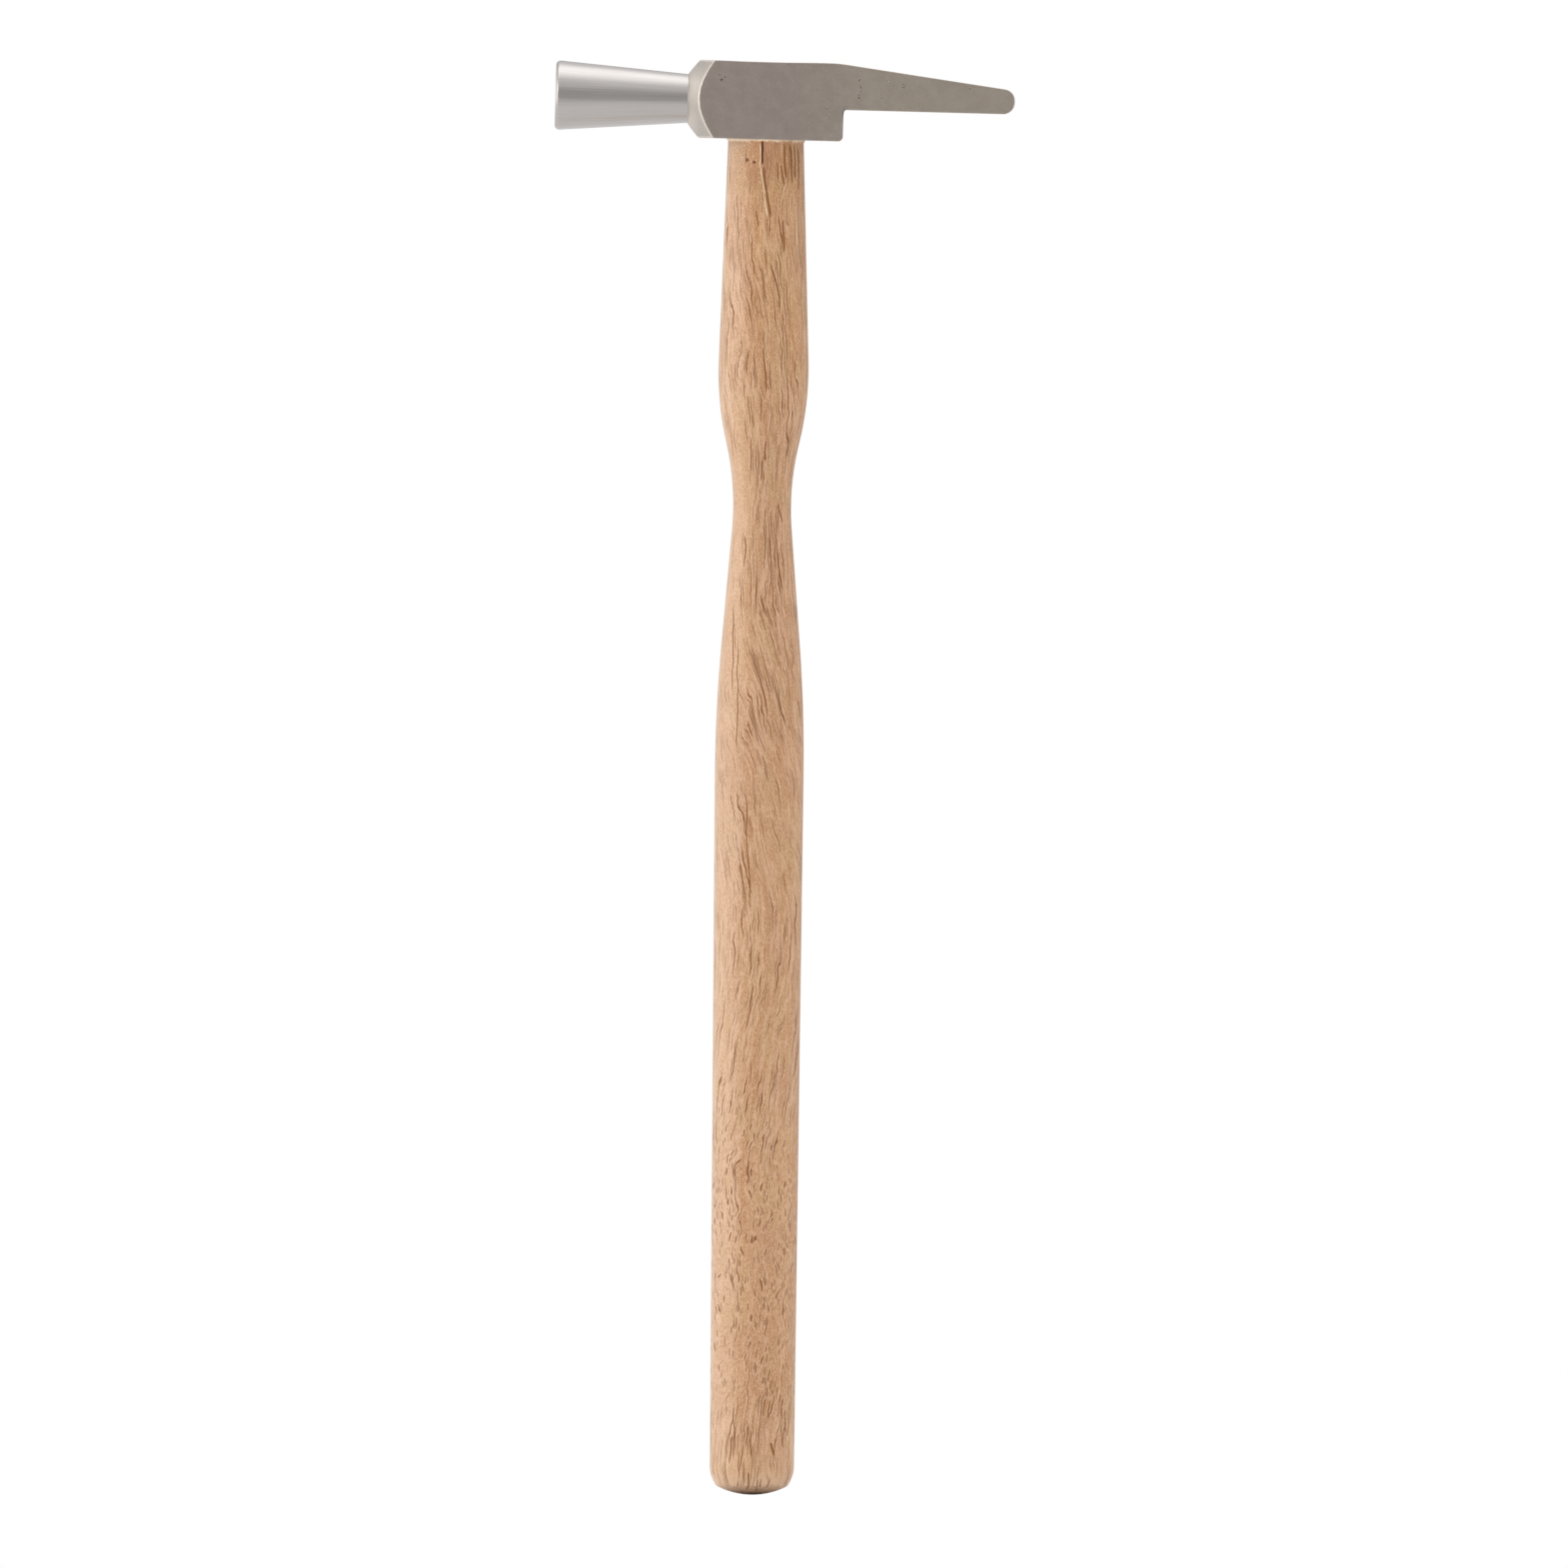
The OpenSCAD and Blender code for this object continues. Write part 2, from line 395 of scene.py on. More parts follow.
def head_rings():
    """The rings of the head from the striking face to the peen's nose, and the material along each."""
    up, down = np.array([0.0, 1.0]), np.array([0.0, -1.0])
    rings, kinds = [], []
    for x, radius, kind in lathe_stations():
        top = hollowed(np.array([[x, BAR_H]]))[0]
        ring = head_section(np.array([x, 0.0]), up, top, down)
        across = np.hypot(ring[:, 1], ring[:, 2] - AXIS_H)
        new = smooth_min(across, radius, EDGE_BLEND)
        cut_away = across - new > EDGE_BLEND / 4
        ring[:, 1] *= new / across
        ring[:, 2] = AXIS_H + (ring[:, 2] - AXIS_H) * new / across
        rings.append(ring)
        kinds.append(np.where(cut_away, kind, GROUND))
    last_x, ring_gap = rings[-1][0][0], 0.12
    for bottom, bottom_in, top, top_in in zip(*bar_stations(last_x + ring_gap)):
        rings.append(head_section(bottom, bottom_in, top, top_in))
        kinds.append(np.full(len(rings[-1]), GROUND))
    return rings, kinds


def make_head():
    """The steel head, with its eye cut through."""
    rings, kinds = head_rings()
    bm = bmesh.new()
    placed = [[bm.verts.new(p) for p in ring] for ring in rings]
    for row, faces in enumerate(bridge_rings(bm, placed)):
        for k, face in enumerate(faces):
            face.material_index = int(kinds[row][k])
    cap = bm.faces.new(placed[0])
    cap.material_index = TURNED
    same_place = 0.002
    bmesh.ops.remove_doubles(bm, verts=bm.verts, dist=same_place)
    piece = add_object("hammer_head_steel", finished_mesh(bm, "hammer_head_steel"))

    past = 1.0
    mouth = EYE_D / 2 + EYE_FLARE / 2
    cut(piece, lathe_mesh("eye", [
        (0, -past),
        (EYE_D / 2 - EYE_SLOPE * past, -past),
        (EYE_D / 2, 0),
        (EYE_D / 2 + EYE_SLOPE * (BAR_H - EYE_LIP), BAR_H - EYE_LIP),
        (mouth + EYE_LIP + past, BAR_H + past),
        (0, BAR_H + past),
    ], segments=128))
    piece.data.transform(head_matrix())
    smooth_shade(piece.data, SHARP_STEEL_ANGLE)
    return piece


# The handle

def handle_profile():
    """(radius, height) points from the middle of the butt up to the shoulder."""
    slope = math.radians(BUTT_DOME_SLOPE)
    dome_corner = BUTT_DOME_R * math.tan(slope / 2)
    rim = BUTT_D / 2 - BUTT_RIM_INSET
    return rounded_path([
        (0, 0, 0),
        (dome_corner, 0, BUTT_DOME_R),
        (rim, (rim - dome_corner) * math.tan(slope), BUTT_RIM_R),
        (BUTT_D / 2, BUTT_TURN_H, BUTT_TURN_R),
        (GRIP_D / 2, HANDLE_LEN - GRIP_DROP, GRIP_R),
        (WAIST_D / 2, HANDLE_LEN - WAIST_DROP, WAIST_R),
        (SWELL_D / 2, HANDLE_LEN - SWELL_DROP, SWELL_R),
        (SHOULDER_D / 2, HANDLE_LEN, 0),
    ], steps=40)


SHARP_WOOD_ANGLE = 50

# The split that the wedge opened down the front, as (drop below the head, distance right of the axis)
SPLIT_LINE = [(0.0, -0.60), (1.4, -0.55), (2.8, -0.57), (4.2, -0.50)]
SPLIT_RIGHT = -0.55
SPLIT_END = 4.3
SPLIT_HALF_W = 0.15
SPLIT_DEPTH = 0.45

# The torn edge below the split, where the wood on the left stands proud of the wood on the right
TEAR_LINE = [(3.6, -0.36), (6.4, -0.30), (8.6, -0.06), (10.3, 0.19), (11.8, 0.67), (13.2, 0.75)]
TEAR_START = 3.6
TEAR_END = 13.6
TEAR_STEP = 0.2

# How far both lines wander sideways, and how often in a millimetre
LINE_WANDER = 0.05
LINE_WANDER_RATE = 1.7

# Two small pits left of the split, as (drop, distance right of the axis, radius, depth)
WOOD_PITS = [(3.3, -2.97, 0.42, 0.22), (3.65, -1.85, 0.34, 0.3)]

# The rim of wood fibres crushed against the underside of the head
CRUSH_H = 0.45
CRUSH_OUT = 0.26


def line_at(line, drop):
    """How far right of the axis a line runs at this drop."""
    drops, places = zip(*line)
    return np.interp(drop, drops, places)


def carved(angle, radius, drop):
    """The radius of the handle with the split, the torn edge and the crushed rim worked in."""
    right = radius * math.sin(angle)
    if math.cos(angle) > 0:
        wander = LINE_WANDER * noise.noise(Vector((drop * LINE_WANDER_RATE, 3.1, 0.4)))
        if drop < SPLIT_END:
            aside = (right - line_at(SPLIT_LINE, drop) - wander) / SPLIT_HALF_W
            closing = 1.0 - smooth_step(SPLIT_END - 1.0, SPLIT_END, drop)
            closing *= smooth_step(0.1, 0.4, drop)
            radius -= SPLIT_DEPTH * closing * math.exp(-(aside**4))
        if TEAR_START < drop < TEAR_END:
            aside = right - line_at(TEAR_LINE, drop) - 2 * wander
            rise = smooth_step(TEAR_START, TEAR_START + 1.0, drop)
            rise *= 1.0 - smooth_step(TEAR_END - 3.0, TEAR_END, drop)
            step = smooth_step(-0.02, 0.06, aside) * (1.0 - smooth_step(0.06, 0.9, aside))
            radius -= TEAR_STEP * rise * step
        for pit_drop, pit_right, size, depth in WOOD_PITS:
            away = math.hypot(drop - pit_drop, right - pit_right) / size
            if away < 1.6:
                radius -= depth * math.exp(-(away * 1.5) ** 4)
    if drop < CRUSH_H:
        ragged = 0.55 + 0.9 * noise.noise(Vector((math.sin(angle) * 9, math.cos(angle) * 9, 5.0)))
        fade = 1.0 - smooth_step(CRUSH_H * 0.3, CRUSH_H, drop)
        radius += CRUSH_OUT * fade * max(0.0, ragged)
    return radius


def handle_angles():
    """Angles from the front, round to the right, closest together where the split and the pits are."""
    fine_from, fine_to = -34.0, 13.0
    fine_step, coarse_step = 0.5, 2.4
    fine = np.arange(fine_from, fine_to, fine_step)
    coarse = np.arange(fine_to, 360.0 + fine_from, coarse_step)
    return np.radians(np.concatenate([fine, coarse]))


def turned_rings(bm, angles):
    """The rings of the turned wood, up to the shoulder that seats against the canted head."""
    path = handle_profile()
    total = lengths_along(path)[-1]
    butt_zone, mid_zone, fine_zone, seat_zone = 14.0, 30.0, 17.0, 3.0
    places = np.concatenate([
        np.arange(0.5, butt_zone, 0.3),
        np.arange(butt_zone, total - mid_zone, 0.9),
        np.arange(total - mid_zone, total - fine_zone, 0.4),
        np.linspace(total - fine_zone, total, 110),
    ])
    cant = math.radians(HEAD_CANT)
    rings = []
    for radius, height in sample(path, places)[0]:
        drop = HANDLE_LEN - height
        to_seat = 1.0 - smooth_step(0.0, seat_zone, drop)
        ring = []
        for angle in angles:
            r = carved(angle, radius, drop)
            x, y = r * math.sin(angle), -r * math.cos(angle)
            ring.append(bm.verts.new((x, y, height - x * math.tan(cant) * to_seat)))
        rings.append(ring)
    return rings


def tenon_rings(bm, angles):
    """The rings of the tenon from the shoulder up to its sawn top."""
    tenon_r = EYE_D / 2 - EYE_CLEARANCE
    top_r = tenon_r + EYE_SLOPE * TENON_H
    shoulder_ring, sawn_edge, sawn_bevel = 0.9, 0.02, 0.12
    tenon = [(tenon_r + shoulder_ring, 0.0), (tenon_r + sawn_edge, 0.0)]
    tenon.extend((tenon_r + EYE_SLOPE * h, h) for h in np.linspace(0.05, TENON_H - 0.1, 14))
    tenon.append((top_r - sawn_edge, TENON_H - sawn_edge))
    tenon.extend((r, TENON_H) for r in (top_r - sawn_bevel, 3.4, 2.2, 1.0))
    rings = []
    for radius, height in tenon:
        ring = []
        for angle in angles:
            at = TILT @ Vector((radius * math.sin(angle), -radius * math.cos(angle), height))
            ring.append(bm.verts.new((at.x, at.y, HANDLE_LEN + at.z)))
        rings.append(ring)
    return rings


def make_handle():
    """The wooden handle with its tenon, which is slotted for the two wedges."""
    bm = bmesh.new()
    angles = handle_angles()
    rings = turned_rings(bm, angles) + tenon_rings(bm, angles)
    bridge_rings(bm, rings)
    bottom = bm.verts.new((0, 0, 0))
    top = bm.verts.new(Vector((0, 0, HANDLE_LEN)) + TILT @ Vector((0, 0, TENON_H)))
    count = len(angles)
    for k in range(count):
        bm.faces.new((rings[0][(k + 1) % count], rings[0][k], bottom))
        bm.faces.new((rings[-1][k], rings[-1][(k + 1) % count], top))
    piece = add_object("handle_wood", finished_mesh(bm, "handle_wood"))

    seat = Matrix.Translation((0, 0, HANDLE_LEN)) @ TILT
    past = 1.0
    wood_slope = (WOOD_WEDGE_T - KERF_W) / 2 / WOOD_WEDGE_LEN
    kerf = prism_mesh("kerf", [
        (-KERF_W / 2, KERF_FLOOR),
        (KERF_W / 2, KERF_FLOOR),
        (KERF_W / 2, TENON_H - WOOD_WEDGE_LEN),
        (WOOD_WEDGE_T / 2 + wood_slope * past, TENON_H + past),
        (-WOOD_WEDGE_T / 2 - wood_slope * past, TENON_H + past),
        (-KERF_W / 2, TENON_H - WOOD_WEDGE_LEN),
    ], "X", EYE_D + 4 * past)
    steel_slope = (STEEL_WEDGE_T - STEEL_WEDGE_EDGE) / 2 / STEEL_WEDGE_LEN
    cross = prism_mesh("cross", [
        (-STEEL_WEDGE_EDGE / 2, TENON_H - STEEL_WEDGE_LEN),
        (STEEL_WEDGE_EDGE / 2, TENON_H - STEEL_WEDGE_LEN),
        (STEEL_WEDGE_T / 2 + steel_slope * past, TENON_H + past),
        (-STEEL_WEDGE_T / 2 - steel_slope * past, TENON_H + past),
    ], "Y", STEEL_WEDGE_W)
    for cutter in (kerf, cross):
        cutter.transform(seat)
        cut(piece, cutter)
    piece.data.transform(Matrix.Scale(MM, 4))
    smooth_shade(piece.data, SHARP_WOOD_ANGLE)
    return piece


# Materials

# The sockets of a Mix node that mixes colours
MIX_FACTOR, MIX_A, MIX_B, MIX_RESULT = 0, 6, 7, 2


class Tree:
    """The nodes of a material or the world, added and linked in short calls; sizes are in millimetres."""

    def __init__(self, owner, shader="Principled BSDF"):
        owner.use_nodes = True
        self.owner = owner
        self.nodes = owner.node_tree.nodes
        self.links = owner.node_tree.links
        self.shader = self.nodes[shader]

    def put(self, socket, value):
        """Links another node's output to a socket, or sets the socket to a plain value."""
        if isinstance(value, bpy.types.NodeSocket):
            self.links.new(value, socket)
        else:
            socket.default_value = value

    def add(self, kind, inputs=(), **settings):
        made = self.nodes.new(kind)
        for key, value in settings.items():
            setattr(made, key, value)
        for key, value in dict(inputs).items():
            self.put(made.inputs[key], value)
        return made

    def shade(self, values):
        """Puts these values on the shader."""
        for key, value in values.items():
            self.put(self.shader.inputs[key], value)

    def math(self, operation, a, b=0.0):
        return self.add("ShaderNodeMath", {0: a, 1: b}, operation=operation).outputs[0]

    def plus(self, a, b):
        return self.math("ADD", a, b)

    def minus(self, a, b):
        return self.math("SUBTRACT", a, b)

    def times(self, a, b):
        return self.math("MULTIPLY", a, b)

    def vector(self, operation, a, b):
        return self.add("ShaderNodeVectorMath", {0: a, 1: b}, operation=operation).outputs[0]

    def hypot(self, a, b):
        return self.math("SQRT", self.plus(self.times(a, a), self.times(b, b)))

    def measured(self, at, size, moved=(0, 0, 0)):
        """The place, moved this far and then counted in steps of this size along each axis."""
        return self.add("ShaderNodeMapping", {
            "Vector": at,
            "Location": [m / s for m, s in zip(moved, size)],
            "Scale": [1 / s for s in size],
        }, vector_type="POINT").outputs[0]

    def place(self):
        """The place on the piece, in millimetres of the row frame."""
        return self.measured(self.add("ShaderNodeTexCoord").outputs["Object"], (MM, MM, MM))

    def split(self, vector):
        return self.add("ShaderNodeSeparateXYZ", {"Vector": vector}).outputs

    def join(self, x, y, z):
        return self.add("ShaderNodeCombineXYZ", {"X": x, "Y": y, "Z": z}).outputs[0]

    def noise(self, at, size, detail=2.0, roughness=0.5, moved=(0, 0, 0)):
        """Noise from 0 to 1 whose features are about size millimetres long each way."""
        return self.add("ShaderNodeTexNoise", {
            "Vector": self.measured(at, size, moved),
            "Scale": 1.0,
            "Detail": detail,
            "Roughness": roughness,
        }).outputs["Fac"]

    def wobble(self, at, size, detail, reach, moved=(0, 0, 0)):
        """Noise round 0, from minus half of reach to half of it."""
        centred = self.minus(self.noise(at, size, detail, moved=moved), 0.5)
        return self.times(centred, reach)

    def span(self, value, low, high, to_low=0.0, to_high=1.0, smooth=True, held=True):
        """Value carried from low..high to to_low..to_high. A smooth span is held at both ends in any case.

        A held linear span costs Cycles a node of its own, so the wood, which has many, leaves that out.
        """
        return self.add("ShaderNodeMapRange", {
            "Value": value, "From Min": low, "From Max": high, "To Min": to_low, "To Max": to_high,
        }, interpolation_type="SMOOTHSTEP" if smooth else "LINEAR", clamp=held and not smooth).outputs[0]

    def between(self, value, rise, fall, height=1.0):
        """0, then height from the end of rise to the start of fall, and then 0 again."""
        return self.times(self.span(value, *rise, 0.0, height), self.span(value, *fall, 1.0, 0.0))

    def mix(self, factor, a, b, blend="MIX"):
        inputs = {MIX_FACTOR: factor, MIX_A: a, MIX_B: b}
        return self.add("ShaderNodeMix", inputs, data_type="RGBA", blend_type=blend).outputs[MIX_RESULT]

    def bump(self, height, depth_mm, strength=1.0, below=None):
        inputs = {"Height": height, "Distance": depth_mm * MM, "Strength": strength}
        if below is not None:
            inputs["Normal"] = below
        return self.add("ShaderNodeBump", inputs).outputs[0]


# How the grain leans, as (from drop, to drop, sideways run on the front); a run to the right is positive
GRAIN_RUNS = [(12.0, 48.0, 3.0), (64.0, 126.0, 12.0), (132.0, 165.0, -5.0), (190.0, 216.0, -1.5)]

# Zones of the handle, as the drops where each fades in and those where it fades out: vessels crowded,
# few vessels on the striking side, swirling grain, and vessels as short dashes
CROWDED_ZONE = (40.0, 48.0), (72.0, 80.0)
QUIET_ZONE = (42.0, 50.0), (100.0, 120.0)
SWIRL_ZONE = (152.0, 166.0), (182.0, 196.0)
DASH_ZONE = (152.0, 166.0), (199.0, 206.0)

# How the grain wavers, as (size of a bend along X, Y and Z), detail, reach
SLOW_BEND = (9.0, 9.0, 22.0), 1.0, 4.5
SMALL_WAVE = (1.6, 1.6, 3.3), 2.0, 1.25
CURL = (4.5, 4.5, 5.5), 1.0, 3.0
DIP = (4.0, 4.0, 9.0), 1.0, 1.0
LINE_WAVER = (2.4, 2.4, 5.0), 1.0, 1.1
DIP_OUTSIDE_SWIRL = 0.42

# The sizes of the wood's features along X, Y and Z
BAND_SIZE, STREAK_SIZE = (4.0, 4.0, 60.0), (0.9, 0.9, 34.0)
CLOUD_SIZE, WARMTH_SIZE = (5.0, 5.0, 12.0), (4.5, 4.5, 9.0)
SPECK_SIZE, FIBRE_SIZE = (0.19, 0.19, 0.28), (0.24, 0.24, 0.7)
CROWD_SIZE, CRUSHED_SIZE = (3.0, 3.0, 24.0), (0.5, 0.5, 0.9)
END_BEND_SIZE, END_DOT_SIZE = (3.0, 3.0, 30.0), (0.2, 0.2, 4.0)

# The three kinds of vessels, as (place in the noise, width and length of a cell, half width, darkness,
# paleness of the lips beside it)
VESSELS = {
    "bold": ((0, 0, 0), 0.34, 13.0, 0.10, 1.0, 1.0),
    "fine": ((31, 17, 9), 0.30, 7.5, 0.085, 0.7, 0.6),
    "short": ((11, 47, 5), 0.32, 2.4, 0.10, 0.95, 0.8),
}

# Single lines on the front, as (drop and distance right of the axis at the top, the same at the
# bottom, half width): the stripes right of the split, the torn edge's painted shadow and a few long vessels
LONG_LINES = [
    (0.2, 2.95, 6.6, 3.35, 0.18), (0.2, 3.7, 7.5, 4.5, 0.19), (0.3, 4.45, 6.6, 4.85, 0.16),
    (0.6, 5.1, 8.6, 5.45, 0.16), (3.4, 1.9, 6.7, 2.25, 0.14), (3.8, 2.6, 7.6, 3.1, 0.15),
    # This line and the first of the next row paint the shadow beside the torn edge
    (4.2, -0.22, 8.8, 0.12, 0.24),
    (7.6, 0.02, 12.8, 0.92, 0.19), (11.1, -1.42, 14.1, -0.97, 0.12), (12.1, 2.3, 17.1, 3.05, 0.13),
    (12.5, 3.0, 18.4, 3.35, 0.12), (19.5, 1.1, 28.0, 2.6, 0.13), (33.0, 0.0, 41.0, 0.6, 0.15),
    (46.4, 3.95, 51.3, 3.85, 0.1), (48.0, 0.55, 51.8, 0.35, 0.12), (51.2, -0.05, 54.8, -0.15, 0.1),
    (47.4, -1.9, 53.8, -1.7, 0.09), (58.3, 2.8, 61.6, 3.1, 0.11), (62.8, 1.15, 72.0, 1.75, 0.11),
    (62.8, 2.05, 72.6, 3.45, 0.11), (63.2, -2.62, 68.8, -2.75, 0.1), (72.8, -0.05, 76.6, 1.05, 0.12),
    (104.3, -2.28, 124.3, -1.05, 0.1), (79.4, -3.6, 99.3, -3.75, 0.09), (73.0, -4.35, 90.0, -4.45, 0.08),
    (203.2, -2.8, 208.8, -2.95, 0.1), (207.4, -3.25, 212.5, -3.45, 0.12),
    (205.8, -0.6, 209.6, -0.7, 0.1), (206.6, -0.15, 211.3, -0.15, 0.09),
    (209.0, -1.4, 213.4, -1.9, 0.1), (208.6, 3.15, 211.0, 3.3, 0.14),
    (213.4, -0.5, 216.7, -0.7, 0.1), (214.6, 0.75, 217.0, 0.65, 0.1),
    (205.6, 4.6, 210.0, 4.75, 0.09), (201.5, 1.9, 204.6, 1.8, 0.09),
    (201.9, 2.7, 205.2, 2.55, 0.1), (203.4, 5.4, 207.6, 5.45, 0.08),
]

# Painted highlights on the raised wood left of the split and of the torn edge, given the same way
HIGHLIGHT_LIP_LINES = [(0.3, -0.90, 5.0, -0.86, 0.12), (4.0, -0.62, 9.2, -0.22, 0.12), (8.8, -0.24, 12.6, 0.36, 0.1)]
LINE_CRISPNESS = 5.0

# Stained wood beside the split, as (right of the axis, reach, from drop, to drop, strength)
STAINS = [
    (0.9, 1.6, 0.0, 8.0, 0.45), (-2.1, 1.4, 4.6, 9.0, 0.3),
    (-1.2, 1.0, 0.0, 3.0, 0.2), (-0.25, 0.4, 0.6, 6.0, 0.6),
]

# The part of the neck's surface that counts as its front
FRONT_Y = -4.0

# The wood's colours
BROWN_BAND, TAN_BAND = (0.448, 0.207, 0.076, 1), (0.542, 0.296, 0.134, 1)
WARM_PATCH, ROSY_PATCH = (0.500, 0.292, 0.125, 1), (0.455, 0.212, 0.095, 1)
# Partly paler wood and partly painted light on the -X side, where the lamp stands
PALE_WOOD_AND_LIGHT_SIDE = (0.590, 0.370, 0.212, 1)
LIGHT_FIBRE, DARK_FIBRE = (0.66, 0.42, 0.260, 1), (0.33, 0.148, 0.044, 1)
LIGHT_SPECK, DARK_SPECK = (0.67, 0.42, 0.275, 1), (0.34, 0.152, 0.048, 1)
# The vessel colour also paints the shadow beside the torn edge
VESSEL_AND_SHADOW_LINE, VESSEL_LIP = (0.245, 0.082, 0.003, 1), (0.70, 0.45, 0.305, 1)
YELLOW_CAST = (1.0, 0.975, 0.86, 1)
# A painted highlight along the rim of the -X side
PAINTED_RIM_HIGHLIGHT = (0.76, 0.62, 0.48, 1)
# Painted light on the butt end and its rim, against the shadow that the floor puts there
BUTT_PAINTED_LIGHT, BUTT_RIM_PAINTED_LIGHT = (0.66, 0.43, 0.24, 1), (0.74, 0.54, 0.39, 1)
# PAINTED_LIP_HIGHLIGHT is a painted highlight on the raised lips beside the split and the torn edge
PAINTED_LIP_HIGHLIGHT, STAIN, CRUSHED = (0.80, 0.58, 0.38, 1), (0.36, 0.150, 0.062, 1), (0.84, 0.66, 0.47, 1)
# Painted shade inside the split and the pits
SPLIT_SHADE, WOOD_PIT_SHADE = (0.19, 0.060, 0.020, 1), (0.15, 0.045, 0.015, 1)
SAWN_DARK, SAWN_LIGHT, SAWN_DOT = (0.285, 0.150, 0.068, 1), (0.365, 0.205, 0.100, 1), (0.160, 0.070, 0.026, 1)


class WoodTree(Tree):
    """The wood's nodes, and the places on the handle that they start from."""

    def __init__(self, material):
        super().__init__(material)
        self.here = self.place()
        self.x, self.y, self.z = self.split(self.here)
        self.drop = self.minus(HANDLE_LEN, self.z)
        self.radius = self.hypot(self.x, self.y)
        self.front = self.math("LESS_THAN", self.y, FRONT_Y)
        self.swirl = self.between(self.drop, *SWIRL_ZONE)


def grain_place(tree):
    """The place in the straight-grained log that the leaning, waving grain at each spot comes from."""
    twist = 0.0
    for first, last, run in GRAIN_RUNS:
        twist = tree.plus(twist, tree.span(tree.drop, first, last, 0.0, -run * 2 / GRIP_D))
    slow = tree.wobble(tree.here, *SLOW_BEND)
    wave = tree.wobble(tree.here, *SMALL_WAVE)
    curl = tree.times(tree.wobble(tree.here, *CURL), tree.swirl)
    aside = tree.plus(tree.plus(slow, wave), curl)
    twist = tree.plus(twist, tree.math("DIVIDE", aside, GRIP_D / 2))
    grain = tree.add("ShaderNodeVectorRotate", {"Vector": tree.here, "Angle": twist},
                     rotation_type="Z_AXIS").outputs[0]

    # It partly follows the turned outline, and dips in and out of the surface
    follow = tree.times(tree.span(tree.z, 0.4, 1.4, 0.0, 0.95), tree.span(tree.drop, 0.0, 0.3))
    dip = tree.wobble(tree.here, *DIP, moved=(50, 0, 0))
    dip = tree.times(dip, tree.plus(DIP_OUTSIDE_SWIRL, tree.swirl))
    depth = tree.times(follow, tree.minus(GRIP_D / 2, tree.radius))
    depth = tree.plus(depth, dip)
    grow = tree.plus(1.0, tree.math("DIVIDE", depth, tree.math("MAXIMUM", tree.radius, 1.0)))
    return tree.vector("MULTIPLY", grain, tree.join(grow, grow, 1.0))


def pores(tree, grain, keep, moved, width, length, half_width):
    """One kind of vessel lines, thin spindles kept where keep is high, and the lips beside them."""
    cell = tree.add("ShaderNodeTexVoronoi", {
        "Vector": tree.measured(grain, (width, width, length), moved),
        "Scale": 1.0,
        "Randomness": 1.0,
    }, feature="F1")
    chance = tree.add("ShaderNodeSeparateColor", {"Color": cell.outputs["Color"]}).outputs
    thinnest, thickest = 0.7 * half_width / width, 1.3 * half_width / width
    reach = tree.span(chance[0], 0.0, 1.0, thinnest, thickest, smooth=False, held=False)
    away = tree.math("DIVIDE", cell.outputs["Distance"], reach)
    shown = tree.math("LESS_THAN", chance[1], keep)
    line = tree.times(tree.span(away, 0.72, 1.0, 1.0, 0.0), shown)
    lip = tree.times(tree.between(away, (1.0, 1.25), (1.4, 1.9)), shown)
    return line, lip


def vessels(tree, grain):
    """All the vessel lines that the grain makes, and the pale lips beside them."""
    drop = tree.drop
    crowd = tree.plus(tree.noise(grain, CROWD_SIZE), tree.between(drop, *CROWDED_ZONE, 0.13))
    quiet = tree.times(tree.span(tree.x, -3.4, -1.4, 0.65, 0.0), tree.between(drop, *QUIET_ZONE))
    dashes = tree.between(drop, *DASH_ZONE)
    straight = tree.minus(1.0, tree.times(dashes, 0.8))
    straight = tree.times(straight, tree.span(drop, 7.0, 11.0, 0.25, 1.0))
    straight = tree.times(straight, tree.minus(1.0, quiet))
    dashes = tree.times(dashes, tree.span(drop, 183.0, 190.0, 1.0, 0.75))
    keeps = {
        "bold": tree.times(straight, tree.span(crowd, 0.38, 0.54, 0.5, 1.0)),
        "fine": tree.times(straight, tree.span(crowd, 0.38, 0.58, 0.65, 1.0)),
        "short": tree.times(dashes, tree.span(crowd, 0.35, 0.60, 0.55, 1.0)),
    }
    lines, lips = 0.0, 0.0
    for kind, (moved, width, length, half_width, darkness, paleness) in VESSELS.items():
        line, lip = pores(tree, grain, keeps[kind], moved, width, length, half_width)
        lines = tree.math("MAXIMUM", lines, tree.times(line, darkness))
        lips = tree.math("MAXIMUM", lips, tree.times(lip, paleness))
    return lines, lips


def long_line(tree, right, from_drop, from_right, to_drop, to_right, half_width):
    """1 on a line down the front that narrows to nothing at both ends, and 0 or less beside it."""
    middle = tree.span(tree.drop, from_drop, to_drop, from_right, to_right, smooth=False, held=False)
    aside = tree.math("ABSOLUTE", tree.minus(right, middle))
    ease = (to_drop - from_drop) * 0.2
    width = tree.between(tree.drop, (from_drop, from_drop + ease), (to_drop - ease, to_drop), half_width)
    inside = tree.times(LINE_CRISPNESS / half_width, tree.minus(width, aside))
    return tree.math("MINIMUM", 1.0, inside)


